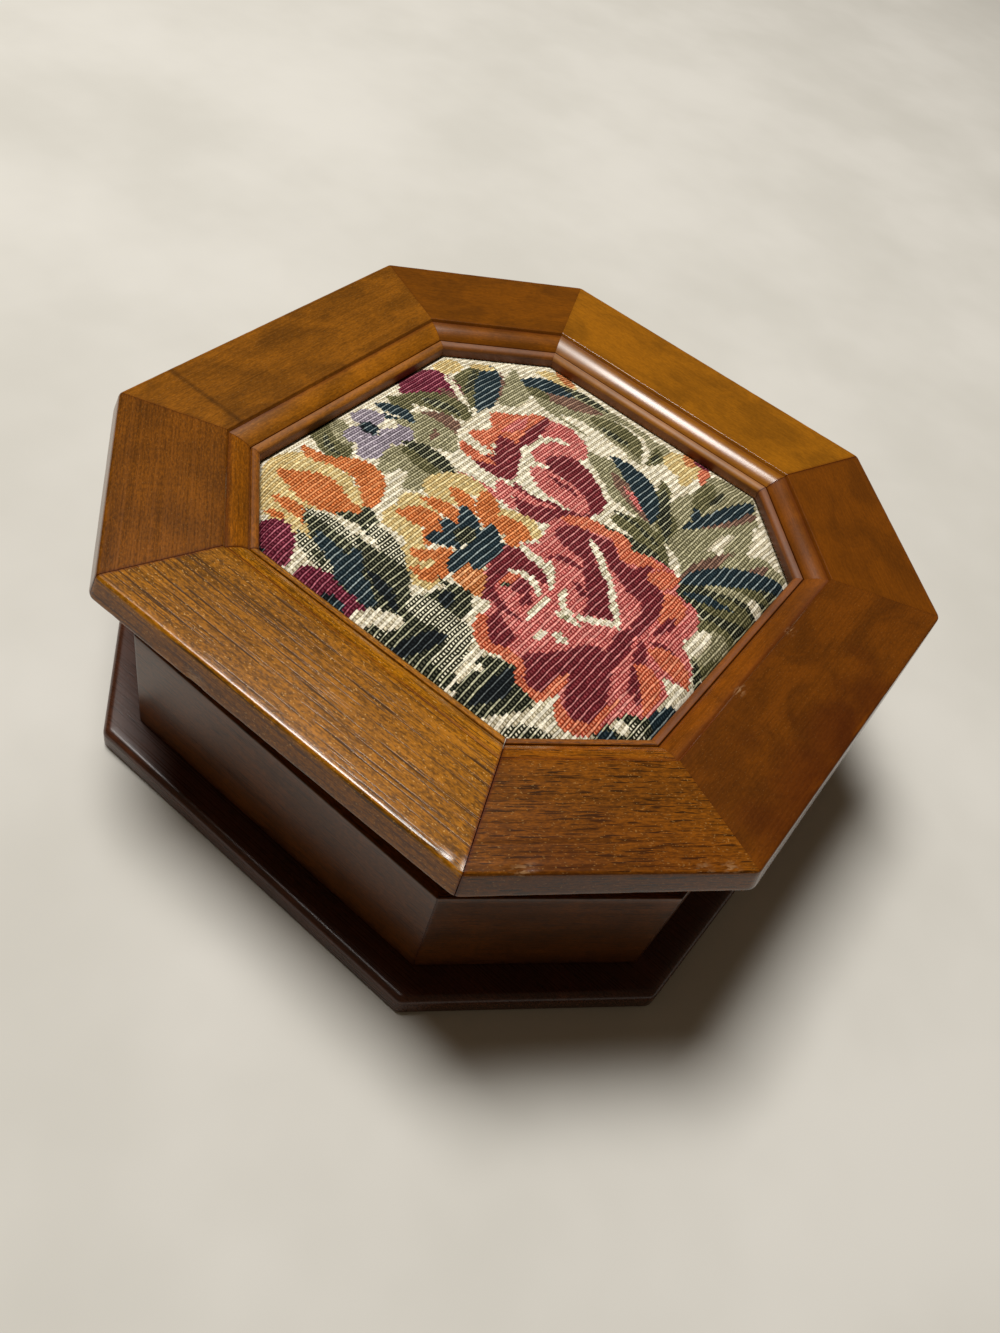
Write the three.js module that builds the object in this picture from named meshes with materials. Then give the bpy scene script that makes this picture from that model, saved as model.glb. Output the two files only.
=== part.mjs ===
// An eight-sided wooden jewelry box: a base plate, eight mitred walls, and a lift-off lid
// of eight moulded rails that frame a padded tapestry panel on a backing board.
// Millimetres, +Z up, +Y towards the back. The origin is the centre of the underside.

import * as THREE from 'three';
import { mergeVertices } from 'three/addons/utils/BufferGeometryUtils.js';

// Plan of the body: an octagon with four long sides and four shorter ones across its corners
const BODY_SPAN = 161.6; // across two opposite long walls, outer face to outer face
const BODY_LONG_SIDE = 88.7; // length of a long wall along its outer face
const TOUCH = 0.3; // gap left between pieces that touch

// Base plate
const BASE_THICKNESS = 5.8;
const BASE_LIP = 8.2; // how far the base stands out beyond the walls
const BASE_CORNER = 3; // radius of its corners in plan
const BASE_ROUND = 2; // radius of the round along its upper edge
const BASE_ARRIS = 0.5; // small softening along its lower edge

// Walls
const WALL_HEIGHT = 31.9;
const WALL_THICKNESS = 8;
const WALL_CORNER = 1; // radius of the body's upright corners
const WALL_ARRIS = 0.4; // softening along the rim

// Lid rails, seen from above
const LID_OVERHANG = 8.2; // how far the lid's edge stands out beyond the walls
const LID_CORNER = 2.8; // radius of the lid's corners in plan
const LID_FLARE = 1.8; // how far the edge leans outward on its way down
const LID_FLAT = 24.1; // width of the flat, from the edge to the moulding
const OVOLO_WIDTH = 4.8; // the moulding's broad round
const BEAD_WIDTH = 1.9; // the narrow bead beside the tapestry
const FILLET = 0.4; // width of the small flat beside each of them
const LID_TURN = 1.5; // degrees that the loose lid lies turned on the body

// Lid rails, in height
const LID_EDGE = 5.8; // height of the outer edge
const LID_ARRIS = 0.9; // softening along the edge, above and below
const STEP_DOWN = 0.7; // first step of the moulding, down from the flat
const OVOLO_DROP = 2.2;
const BEAD_DROP = 0.5; // step from the round down to the bead
const BEAD_RISE = 0.6; // how far the bead stands up above that step
const BEAD_FALL = 1; // how far it turns over on its inner side
const LIP_DEPTH = 6.2; // underside of the lip that holds the tapestry, below the flat
const LIP_WIDTH = 4.2; // how far the lip reaches over the tapestry's edge

// Recessed foot of the lid, which stands on the rim and drops a tongue inside the walls
const RECESS = 18.2; // height of the recess between the rim and the overhang
const RIM_LEDGE = 3.4; // how far the foot stands back from the face of the walls
const TONGUE_PLAY = 1.6; // free room between the tongue and the walls
const TONGUE_THICKNESS = 3;
const TONGUE_DEPTH = 3.5;

// Tapestry pad and its backing board
const PAD_EDGE = 2; // thickness of the pad where the lip covers it
const PAD_CROWN = 5.9; // rise of its middle above that edge
const PAD_FLATNESS = 3; // power of the crown's curve: a higher one keeps its middle flatter
const PAD_SHOULDER = 0.6; // power of its rise beside the lip: a lower one is steeper
const PAD_RINGS = [0.04, 0.1, 0.18, 0.28, 0.4, 0.55]; // its rings, as shares of the way to the middle
const PAD_CORNER = 3;
const BOARD_THICKNESS = 3;

// Heights from the underside
const FLOOR = BASE_THICKNESS;
const RIM = FLOOR + TOUCH + WALL_HEIGHT;
const LID_TOP = RIM + RECESS + LID_EDGE;

// Distances in from the face of the walls
const LID_RIM = -LID_OVERHANG;
const MOULDING = LID_RIM + LID_FLARE + LID_FLAT;
const SIGHT = MOULDING + OVOLO_WIDTH + BEAD_WIDTH + 2 * FILLET;
const REBATE = SIGHT - LIP_WIDTH;
const PANEL_EDGE = REBATE + TOUCH; // edge of the pad and of its board
const TONGUE = WALL_THICKNESS + TONGUE_PLAY;

// Finish, as it shows: each board took the stain a little differently
const SIDES = ['back', 'back_left', 'left', 'front_left', 'front', 'front_right', 'right', 'back_right'];
const RAIL_COLOURS = [0x9a5f22, 0x95591f, 0x7c451a, 0x84501d, 0xa9722f, 0x8a5020, 0x6b3413, 0x74401a];
const WALL_COLOUR = 0x5e3217;
const BASE_COLOUR = 0x4c2814;
const BOARD_COLOUR = 0x6e4526;
const TAPESTRY_COLOUR = 0xb0906a;
const LACQUER = { roughness: 0.35, metalness: 0 };
const CLOTH = { roughness: 0.9, metalness: 0 };

const EIGHTH = Math.PI / 4;
const MITRE = Math.PI / 8;
const MITRE_SLOPE = Math.tan(MITRE);
const UP = new THREE.Vector3(0, 0, 1);
const ARC_STEPS = 3; // straight steps in half the round of an upright corner
const STATIONS = 2 * (ARC_STEPS + 1); // places along a side: half a corner's round at each end
const CURVE_STEPS = 6; // straight steps in a curve of a section

/** Distance from the centre and half length of a side of the body; every second side is long. */
function side(index) {
  const [reach, half] = [BODY_SPAN / 2, BODY_LONG_SIDE / 2];
  if (index % 2 === 0) return { reach, half };
  return { reach: (reach + half) / Math.SQRT2, half: (reach - half) / Math.SQRT2 };
}

/**
 * A point at one of a side's stations, `inward` of the walls' face. The corners have the given
 * radius where the outline stands at `rim`, and grow sharper inward.
 */
function stationPoint(sideIndex, station, inward, rim, radius) {
  const { reach, half } = side(sideIndex);
  const firstEnd = station <= ARC_STEPS;
  const turn = MITRE * (firstEnd ? ARC_STEPS - station : station - ARC_STEPS - 1) / ARC_STEPS;
  const bend = Math.max(radius - (inward - rim), 0);
  const along = half - (inward + bend) * MITRE_SLOPE + bend * Math.sin(turn);
  return { along: firstEnd ? along : -along, out: reach - inward - bend * (1 - Math.cos(turn)) };
}

/** Welds a geometry's corners and leaves out the triangles that have shrunk to a line. */
function welded(geometry) {
  geometry.deleteAttribute('normal');
  geometry.deleteAttribute('uv');
  const joined = mergeVertices(geometry, 1e-4);
  const index = joined.index.array;
  const kept = [];
  for (let i = 0; i < index.length; i += 3) {
    const [a, b, c] = index.slice(i, i + 3);
    if (a !== b && b !== c && c !== a) kept.push(a, b, c);
  }
  joined.setIndex(kept);
  joined.computeVertexNormals();
  return joined;
}

/** A board along one side: its section is drawn inward and upward, and both ends are mitred. */
function mitredBoard(section, sideIndex, rim, radius) {
  const steps = STATIONS - 1;
  const extrusion = { depth: steps, steps, bevelEnabled: false, curveSegments: CURVE_STEPS };
  const geometry = new THREE.ExtrudeGeometry(section, extrusion);
  const position = geometry.attributes.position;
  const gap = TOUCH / 2 / Math.cos(MITRE);
  for (let i = 0; i < position.count; i++) {
    const station = Math.round(position.getZ(i));
    const { along, out } = stationPoint(sideIndex, station, position.getX(i), rim, radius);
    position.setXYZ(i, along - Math.sign(along) * gap, out, position.getY(i));
  }
  return welded(geometry);
}

/**
 * A plate over the whole plan. Each row is a distance inward and a height; the first and the
 * last row are points on the axis.
 */
function plate(rows, rim, radius) {
  const around = SIDES.length * STATIONS;
  const geometry = new THREE.LatheGeometry(rows.map(([, z]) => new THREE.Vector2(1, z)), around);
  const position = geometry.attributes.position;
  for (let i = 0; i < position.count; i++) {
    const row = i % rows.length;
    const step = Math.floor(i / rows.length) % around;
    const sideIndex = Math.floor(step / STATIONS);
    const [inward, z] = rows[row];
    const { along, out } = stationPoint(sideIndex, step % STATIONS, inward, rim, radius);
    const onAxis = row === 0 || row === rows.length - 1;
    const point = onAxis ? new THREE.Vector3(0, 0, z) : new THREE.Vector3(along, out, z);
    point.applyAxisAngle(UP, sideIndex * EIGHTH);
    position.setXYZ(i, point.x, point.y, point.z);
  }
  return welded(geometry);
}

/** Section of a lid rail: heights are taken from the lid's flat, distances inward from the walls' face. */
function railSection() {
  const underside = -(LIP_DEPTH + PAD_EDGE + BOARD_THICKNESS + 2 * TOUCH);
  const foot = -(LID_EDGE + RECESS) + TOUCH;
  const lean = LID_FLARE * LID_ARRIS / LID_EDGE;
  const topEdge = LID_RIM + LID_FLARE;
  const ovolo = MOULDING + FILLET;
  const ovoloFoot = -(STEP_DOWN + OVOLO_DROP);
  const bead = ovolo + OVOLO_WIDTH + FILLET;
  const beadBase = ovoloFoot - BEAD_DROP;
  const beadTop = beadBase + BEAD_RISE;
  const ovoloMiddle = { u: ovolo + OVOLO_WIDTH / 2, z: -STEP_DOWN - OVOLO_DROP / 2 };
  const shape = new THREE.Shape();
  shape.moveTo(LID_RIM + lean, -LID_EDGE + LID_ARRIS);
  shape.quadraticCurveTo(LID_RIM, -LID_EDGE, LID_RIM + LID_ARRIS, -LID_EDGE);
  shape.lineTo(RIM_LEDGE, -LID_EDGE);
  shape.lineTo(RIM_LEDGE, foot);
  shape.lineTo(TONGUE, foot);
  shape.lineTo(TONGUE, foot - TONGUE_DEPTH);
  shape.lineTo(TONGUE + TONGUE_THICKNESS, foot - TONGUE_DEPTH);
  shape.lineTo(TONGUE + TONGUE_THICKNESS, underside);
  shape.lineTo(REBATE, underside);
  shape.lineTo(REBATE, -LIP_DEPTH);
  shape.lineTo(SIGHT, -LIP_DEPTH);
  shape.lineTo(SIGHT, beadBase - BEAD_FALL);
  shape.bezierCurveTo(SIGHT, beadTop, bead + BEAD_WIDTH / 2, beadTop, bead, beadTop);
  shape.quadraticCurveTo(bead - FILLET / 2, beadTop, bead - FILLET / 2, beadBase);
  shape.lineTo(bead - FILLET, beadBase);
  shape.lineTo(bead - FILLET, ovoloFoot);
  shape.bezierCurveTo(bead - FILLET, ovoloMiddle.z, ovoloMiddle.u, -STEP_DOWN, ovolo, -STEP_DOWN);
  shape.lineTo(MOULDING, -STEP_DOWN);
  shape.lineTo(MOULDING, 0);
  shape.lineTo(topEdge + LID_ARRIS, 0);
  shape.quadraticCurveTo(topEdge, 0, topEdge - lean, -LID_ARRIS);
  return shape;
}

/** A wall stands upright; only the arris of its rim is softened. */
function wallSection() {
  const shape = new THREE.Shape();
  shape.moveTo(0, 0);
  shape.lineTo(WALL_THICKNESS, 0);
  shape.lineTo(WALL_THICKNESS, WALL_HEIGHT);
  shape.lineTo(WALL_ARRIS, WALL_HEIGHT);
  shape.quadraticCurveTo(0, WALL_HEIGHT, 0, WALL_HEIGHT - WALL_ARRIS);
  return shape;
}

/** Rows of the base plate, from the middle of its underside to the middle of its top. */
function baseRows() {
  const edge = -BASE_LIP;
  const rows = [[0, 0], [edge + BASE_ARRIS, 0], [edge, BASE_ARRIS]];
  for (let i = 0; i <= CURVE_STEPS; i++) {
    const angle = (i / CURVE_STEPS) * (Math.PI / 2);
    rows.push([edge + BASE_ROUND * (1 - Math.cos(angle)), FLOOR - BASE_ROUND * (1 - Math.sin(angle))]);
  }
  return [...rows, [0, FLOOR]];
}

/** Rows of the pad: it lies under the lip and swells to its crown inside the sight edge. */
function padRows() {
  const rows = [[0, 0], [PANEL_EDGE, 0], [PANEL_EDGE, PAD_EDGE], [SIGHT, PAD_EDGE]];
  const reach = BODY_SPAN / 2 - SIGHT;
  for (const share of [...PAD_RINGS, 1]) {
    const rise = (1 - (1 - share) ** PAD_FLATNESS) ** PAD_SHOULDER;
    rows.push([SIGHT + share * reach, PAD_EDGE + PAD_CROWN * rise]);
  }
  return rows;
}

/** Rows of the board under the pad, a plain plate. */
function boardRows() {
  return [[0, 0], [PANEL_EDGE, 0], [PANEL_EDGE, BOARD_THICKNESS], [0, BOARD_THICKNESS]];
}

function piece(name, geometry, color, finish) {
  const mesh = new THREE.Mesh(geometry, new THREE.MeshStandardMaterial({ color, ...finish }));
  mesh.name = name;
  return mesh;
}

const box = new THREE.Group();

const basePlate = plate(baseRows(), -BASE_LIP, BASE_CORNER);
box.add(piece('base_plate', basePlate, BASE_COLOUR, LACQUER));

SIDES.forEach((name, index) => {
  const wall = piece(`wall_${name}`, mitredBoard(wallSection(), index, 0, WALL_CORNER), WALL_COLOUR, LACQUER);
  wall.position.z = FLOOR + TOUCH;
  wall.rotation.z = index * EIGHTH;
  box.add(wall);
});

const lid = new THREE.Group();
lid.position.z = LID_TOP;
lid.rotation.z = THREE.MathUtils.degToRad(LID_TURN);
box.add(lid);

SIDES.forEach((name, index) => {
  const board = mitredBoard(railSection(), index, LID_RIM, LID_CORNER);
  const rail = piece(`lid_rail_${name}`, board, RAIL_COLOURS[index], LACQUER);
  rail.rotation.z = index * EIGHTH;
  lid.add(rail);
});

const pad = piece('tapestry_pad', plate(padRows(), PANEL_EDGE, PAD_CORNER), TAPESTRY_COLOUR, CLOTH);
pad.position.z = -(LIP_DEPTH + TOUCH + PAD_EDGE);
lid.add(pad);

const board = piece('lid_board', plate(boardRows(), PANEL_EDGE, 0), BOARD_COLOUR, CLOTH);
board.position.z = pad.position.z - TOUCH - BOARD_THICKNESS;
lid.add(board);

export default box;
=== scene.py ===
import math

import bpy
import numpy as np
from mathutils import Matrix, Vector, noise


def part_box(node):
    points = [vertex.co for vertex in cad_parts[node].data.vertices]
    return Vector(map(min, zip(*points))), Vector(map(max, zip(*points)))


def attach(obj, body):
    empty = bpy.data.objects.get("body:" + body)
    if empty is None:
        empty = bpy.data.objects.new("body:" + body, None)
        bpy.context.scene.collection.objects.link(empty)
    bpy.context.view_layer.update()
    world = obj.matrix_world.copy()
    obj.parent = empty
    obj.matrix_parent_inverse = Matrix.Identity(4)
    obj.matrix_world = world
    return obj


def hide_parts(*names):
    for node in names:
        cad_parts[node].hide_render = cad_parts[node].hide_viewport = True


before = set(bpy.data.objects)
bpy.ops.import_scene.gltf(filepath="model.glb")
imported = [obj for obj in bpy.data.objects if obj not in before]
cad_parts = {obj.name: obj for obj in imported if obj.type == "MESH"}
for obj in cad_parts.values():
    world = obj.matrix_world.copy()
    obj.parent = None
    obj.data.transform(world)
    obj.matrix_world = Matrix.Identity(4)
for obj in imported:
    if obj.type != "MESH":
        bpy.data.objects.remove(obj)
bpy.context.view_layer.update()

# A wooden jewelry box with eight sides and a tapestry in its lid. Rails, walls and base are finer meshes
# with the CAD part's plan and sections, in stained and worn wood. The tapestry is drawn stitch by stitch.

# Driving dimensions, in millimetres, as in the CAD part where no comment says otherwise
MM = 0.001
BODY_SPAN = 161.6
BODY_LONG_SIDE = 88.7
BASE_LIP = 8.2
BASE_CORNER = 3
BASE_ROUND = 2
BASE_ARRIS = 0.5
WALL_THICKNESS = 8
WALL_CORNER = 1
WALL_ARRIS = 0.5  # softer than the CAD part's 0.4
LID_OVERHANG = 8.2
LID_CORNER = 3.6  # rounder than the CAD part's 2.8
LID_FLARE = 1.8
LID_FLAT = 24.1
OVOLO_WIDTH = 4.8
BEAD_WIDTH = 1.9
FILLET = 0.4
LID_TURN = math.radians(1.5)
LID_EDGE = 5.8
LID_ARRIS = 0.9
STEP_DOWN = 0.7
OVOLO_DROP = 2.2
BEAD_DROP = 0.5
BEAD_RISE = 0.6
BEAD_FALL = 1
LIP_DEPTH = 6.2
LIP_WIDTH = 4.2
RIM_LEDGE = 3.4
TONGUE_PLAY = 1.6
TONGUE_THICKNESS = 3
PAD_EDGE = 2
PAD_CROWN = 5.9
PAD_FLATNESS = 3
PAD_SHOULDER = 0.6
TOUCH = 0.3

# Heights from the frame, in millimetres
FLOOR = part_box("base_plate")[1].z / MM
WALL_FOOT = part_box("wall_front")[0].z / MM
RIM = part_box("wall_front")[1].z / MM
LID_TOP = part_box("lid_rail_front")[1].z / MM
TONGUE_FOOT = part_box("lid_rail_front")[0].z / MM
BOARD_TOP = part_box("lid_board")[1].z / MM
BOARD_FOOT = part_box("lid_board")[0].z / MM

# Distances in from the walls' face
LID_RIM = -LID_OVERHANG
TOP_EDGE = LID_RIM + LID_FLARE
MOULDING = TOP_EDGE + LID_FLAT
OVOLO = MOULDING + FILLET
BEAD = OVOLO + OVOLO_WIDTH + FILLET
SIGHT = BEAD + BEAD_WIDTH
REBATE = SIGHT - LIP_WIDTH
TONGUE = WALL_THICKNESS + TONGUE_PLAY

# Heights from the lid's flat
OVOLO_FOOT = -(STEP_DOWN + OVOLO_DROP)
BEAD_BASE = OVOLO_FOOT - BEAD_DROP
BEAD_TOP = BEAD_BASE + BEAD_RISE

# Small roundings of the boards' edges
HIDDEN_ARRIS = 0.25
LIP_ARRIS = 0.2
STEP_ARRIS = 0.13
RIM_ARRIS = 0.4

SIDES = ["back", "back_left", "left", "front_left", "front", "front_right", "right", "back_right"]
EIGHTH = math.pi / 4
MITRE_SLOPE = math.tan(math.pi / 8)
MITRE_SINE = math.sin(math.pi / 8)


# Plan of a side

def side_shape(index):
    """Distance from the centre, and half length, of a side of the body. Every second side is long."""
    reach, half = BODY_SPAN / 2, BODY_LONG_SIDE / 2
    if index % 2 == 0:
        return reach, half
    return (reach + half) / math.sqrt(2), (reach - half) / math.sqrt(2)


def end_of(index, inward, rim, radius):
    """How far a side's outline runs along it on either hand, up to the mitre."""
    half = side_shape(index)[1]
    bend = max(radius - (inward - rim), 0)
    return half - (inward + bend) * MITRE_SLOPE + bend * MITRE_SINE


def pulled_in(index, inward, along, rim, radius):
    """How far the round of the corner takes a point in, `along` the side."""
    half = side_shape(index)[1]
    bend = max(radius - (inward - rim), 0)
    past = abs(along) - (half - (inward + bend) * MITRE_SLOPE)
    if bend == 0 or past <= 0:
        return 0.0
    return bend * (1 - math.sqrt(max(1 - (past / bend) ** 2, 0)))


def stations(first, growth, widest):
    """Shares of a side's length, from 0 at one end to 1 at the other, closer together near the ends."""
    gaps = [first]
    while sum(gaps) < 0.5:
        gaps.append(min(gaps[-1] * growth, widest))
    marks = np.cumsum(gaps)
    marks = np.concatenate([[0], marks * 0.5 / marks[-1]])
    return np.concatenate([marks, 1 - marks[-2::-1]])


# Sections of boards: points are a distance in from the walls' face and a height

def line_to(points, end, step=1.6):
    """A straight stretch of a section, cut into steps."""
    start = np.array(points[-1])
    end = np.array(end)
    count = max(int(math.ceil(np.linalg.norm(end - start) / step)), 1)
    points.extend(tuple(start + (end - start) * i / count) for i in range(1, count + 1))


def curve_to(points, first, second, end, steps=8):
    """A cubic curve in a section."""
    start = points[-1]
    for i in range(1, steps + 1):
        t = i / steps
        weights = ((1 - t) ** 3, 3 * t * (1 - t) ** 2, 3 * t * t * (1 - t), t ** 3)
        knots = (start, first, second, end)
        points.append(tuple(sum(w * k[axis] for w, k in zip(weights, knots)) for axis in (0, 1)))


def turn_at(points, corner, radius, towards):
    """Runs to a corner of a section and rounds it with a small radius, heading towards the next point."""
    start = np.array(points[-1])
    corner = np.array(corner)
    towards = np.array(towards)
    before = corner + (start - corner) / np.linalg.norm(start - corner) * radius
    after = corner + (towards - corner) / np.linalg.norm(towards - corner) * radius
    line_to(points, before)
    curve_to(points, tuple((before + 2 * corner) / 3), tuple((after + 2 * corner) / 3), tuple(after), 4)


def rail_section():
    """Round a rail from its top edge: edge, foot, tongue, rebate, bead, ovolo, step and flat."""
    underside = BOARD_FOOT - LID_TOP - TOUCH
    foot = RIM + TOUCH - LID_TOP
    tongue_foot = TONGUE_FOOT - LID_TOP
    tongue_back = TONGUE + TONGUE_THICKNESS
    lean = LID_FLARE * LID_ARRIS / LID_EDGE
    points = [(TOP_EDGE - lean, -LID_ARRIS)]
    line_to(points, (LID_RIM + lean, -LID_EDGE + LID_ARRIS), 0.8)
    low_handles = (LID_RIM + 0.1, -LID_EDGE + 0.2), (LID_RIM + 0.2, -LID_EDGE)
    curve_to(points, *low_handles, (LID_RIM + LID_ARRIS, -LID_EDGE))
    corners = [
        (RIM_LEDGE, -LID_EDGE), (RIM_LEDGE, foot), (TONGUE, foot), (TONGUE, tongue_foot),
        (tongue_back, tongue_foot), (tongue_back, underside), (REBATE, underside), (REBATE, -LIP_DEPTH),
        (SIGHT, -LIP_DEPTH),
    ]
    for corner, following in zip(corners, corners[1:]):
        turn_at(points, corner, HIDDEN_ARRIS, following)
    turn_at(points, corners[-1], LIP_ARRIS, (SIGHT, BEAD_BASE))
    line_to(points, (SIGHT, BEAD_BASE - BEAD_FALL), 0.6)
    curve_to(points, (SIGHT, BEAD_BASE), (BEAD + 0.6 * BEAD_WIDTH, BEAD_TOP - 0.2), (BEAD, BEAD_TOP), 10)
    bead_side = BEAD - FILLET / 2
    curve_to(points, (bead_side, BEAD_TOP), (bead_side, BEAD_BASE), (bead_side, BEAD_BASE), 4)
    fillet = BEAD - FILLET
    line_to(points, (fillet, BEAD_BASE))
    line_to(points, (fillet, OVOLO_FOOT))
    round_handles = (fillet - 1.2, OVOLO_FOOT + 1.2), (OVOLO + 1.9, -STEP_DOWN - 0.15)
    curve_to(points, *round_handles, (OVOLO, -STEP_DOWN), 14)
    turn_at(points, (MOULDING - 0.1, 0), STEP_ARRIS, (TOP_EDGE, 0))
    line_to(points, (TOP_EDGE + LID_ARRIS, 0))
    curve_to(points, (TOP_EDGE + 0.3, 0), (TOP_EDGE, -0.15), points[0], 6)
    return np.array(points[:-1])


def wall_section():
    height = RIM - WALL_FOOT
    points = [(0, 0)]
    line_to(points, (WALL_THICKNESS, 0), 2.5)
    turn_at(points, (WALL_THICKNESS, height), RIM_ARRIS, (0, height))
    turn_at(points, (0, height), WALL_ARRIS, (0, 0))
    line_to(points, (0, 0))
    return np.array(points[:-1])


# Meshes of boards

def way_round(ring):
    """1 where a section runs anticlockwise, else -1."""
    ahead = np.roll(ring, -1, axis=0)
    return math.copysign(1, np.sum(ring[:, 0] * ahead[:, 1] - ahead[:, 0] * ring[:, 1]))


def section_normals(ring):
    """Unit vectors that point out of a closed section, one for each point."""
    along = np.roll(ring, -1, axis=0) - np.roll(ring, 1, axis=0)
    normals = np.stack([along[:, 1], -along[:, 0]], axis=1) * way_round(ring)
    return normals / np.maximum(np.linalg.norm(normals, axis=1, keepdims=True), 1e-9)


def edge_marks(ring):
    """For each point, how near an arris and how near a hollow corner it lies, from 0 to 1."""
    ahead = np.roll(ring, -1, axis=0) - ring
    behind = ring - np.roll(ring, 1, axis=0)
    cross = behind[:, 0] * ahead[:, 1] - behind[:, 1] * ahead[:, 0]
    turns = np.arctan2(cross, np.sum(ahead * behind, axis=1)) * way_round(ring)
    arris = np.zeros(len(ring))
    groove_and_shade = np.zeros(len(ring))
    for here, turn in zip(ring, turns):
        if abs(turn) < LEAST_TURN:
            continue
        near = np.exp(-((np.linalg.norm(ring - here, axis=1) / EDGE_REACH) ** 2)) * min(abs(turn) / 0.5, 1)
        marks = arris if turn > 0 else groove_and_shade
        np.maximum(marks, near, out=marks)
    return arris, groove_and_shade


def rail_marks(ring):
    """A rail's inner arrises wear less, its bead and hidden ones not, and its lip, where it drops to the
    cloth, is painted dark as shade.
    """
    inward, height = ring.T
    arris, groove_and_shade = edge_marks(ring)
    arris *= np.where(inward > TOP_EDGE + LID_FLARE, INNER_WEAR, 1)
    arris *= (height > -LID_EDGE - 0.1) & (inward < SIGHT - BEAD_WIDTH / 2)
    # painted shade: the lip's drop to the cloth is marked fully dark
    lip = (inward > SIGHT - 0.05) & (height < OVOLO_FOOT - 1.2)
    return arris, np.where(lip, 1, groove_and_shade)


LEAST_TURN = math.radians(10)  # a section that turns less has no arris there
EDGE_REACH = 0.7  # how far wear and the darkening of hollows spread from an edge
INNER_WEAR = 0.35
JOINT_REACH = 0.45  # how far the dark line of a mitre spreads


def add_object(name, data):
    made = bpy.data.objects.new(name, data)
    bpy.context.scene.collection.objects.link(made)
    return made


def mesh_object(name, vertices, faces, attributes, material):
    """A smooth-shaded mesh whose creases stay sharp."""
    data = bpy.data.meshes.new(name)
    data.from_pydata([tuple(v) for v in vertices], [], faces)
    data.polygons.foreach_set("use_smooth", [True] * len(data.polygons))
    data.set_sharp_from_angle(angle=math.radians(38))
    for label, values in attributes.items():
        layer = data.attributes.new(label, "FLOAT", "POINT")
        layer.data.foreach_set("value", np.asarray(values, np.float32))
    data.materials.append(material)
    data.validate()
    return add_object(name, data)


def skin(rows, count):
    """Faces between rows that are closed loops of points, with a cap on the first and on the last."""
    faces = []
    for j in range(rows - 1):
        for i in range(count):
            k = (i + 1) % count
            faces.append((j * count + i, (j + 1) * count + i, (j + 1) * count + k, j * count + k))
    last = (rows - 1) * count
    faces.append(tuple(range(count)))
    faces.append(tuple(last + i for i in reversed(range(count))))
    return faces


def board_mesh(name, ring, index, rim, radius, gaps, joints, material, chips=None):
    """A mitred board. Local X runs along it, local Y out of the box, local Z up, from the walls' face.

    Gaps and joints are the width and the darkness of its mitres, at its local -X and at its local +X.
    Only a rail has a list of chips.
    """
    is_rail = chips is not None
    normals = section_normals(ring)
    arris, groove_and_shade = rail_marks(ring) if is_rail else edge_marks(ring)
    length = 2 * side_shape(index)[1]
    shares = stations(0.2 / length, 1.3, 0.9 / length)
    vertices = []
    attributes = {"arris": [], "groove_and_shade": [], "chip": [], "joint": []}
    for share in shares:
        for (u, v), (nu, nv), edge, dark in zip(ring, normals, arris, groove_and_shade):
            if is_rail:
                u -= edge_shift(index, u, v, share)
            half = end_of(index, u, rim, radius)
            along = -half + gaps[0] + share * (2 * half - gaps[0] - gaps[1])
            place = Vector((along, -(u + pulled_in(index, u, along, rim, radius)), v))
            depth, bare = wear_at(place, chips or (), edge, index)
            place.y += nu * depth
            place.z -= nv * depth
            vertices.append(place * MM)
            near = [math.exp(-((apart / JOINT_REACH) ** 2)) for apart in (along + half, half - along)]
            attributes["arris"].append(edge)
            # painted shade on some rails' outer edges and flats joins the darkening of the grooves
            attributes["groove_and_shade"].append(max(dark, painted_shade_at(place, index)) if is_rail else dark)
            attributes["chip"].append(bare)
            attributes["joint"].append(min(joints[0] * near[0] + joints[1] * near[1], 1))
    return mesh_object(name, vertices, skin(len(shares), len(ring)), attributes, material)


def wear_at(place, chips, arris, index):
    """How deep a point is worn in, in millimetres, and how bare the wood is there."""
    rough = noise.noise(place * 0.35 + Vector((index * 7.3, 0, 0)))
    depth = 0.10 * arris * max(rough, 0)
    bare = 0.0
    for centre, radius, deep in chips:
        apart = place - Vector(centre)
        apart.x *= 0.5
        away = apart.length * (1 + 0.35 * noise.noise(place * 1.7 + Vector((3.1, index, 0))))
        if away < radius:
            share = 1 - (away / radius) ** 2
            depth += deep * share
            bare = max(bare, 0.6 * share)
    return depth, bare


def painted_shade_at(place, index):
    """How dark the painted shade lies at a point of a rail, from 0 to 1, on its outer edge or in patches on
    its flat.
    """
    if place.y > -TOP_EDGE + 0.3 and index in PAINTED_EDGE_SHADE:
        return PAINTED_EDGE_SHADE[index]
    dark = 0.0
    for centre, radius, depth in PAINTED_RAIL_SHADE.get(index, []):
        away = (place - Vector(centre)).length / radius
        away *= 1 + 0.5 * noise.noise(place * 0.12 + Vector((0, index, 0)))
        dark = max(dark, depth * max(1 - away * away, 0))
    return dark


# Painted shade on the outer edge of some rails, and in patches on the flats of others: place, radius, depth
PAINTED_EDGE_SHADE = {4: 0.55}
PAINTED_RAIL_SHADE = {
    5: [((-12, 7, 0), 15, 0.5), ((8, 8, 0), 17, 0.5)],
    6: [((-10, 8, 0), 12, 0.9), ((4, 7, 0), 15, 1.0), ((20, 8, 0), 15, 1.0), ((35, 9, 0), 12, 0.8)],
}

# Corners of the lid, each by the side that ends there at its local -X
CORNER_FLARE = [1.8, 1.8, 1.8, 1.8, 1.8, 1.1, 0.4, 1.2]  # how far the edge leans out
CORNER_GAP = [0.008, 0.02, 0.03, 0.07, 0.09, 0.008, 0.008, 0.06]  # how far the mitre stands open


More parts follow.
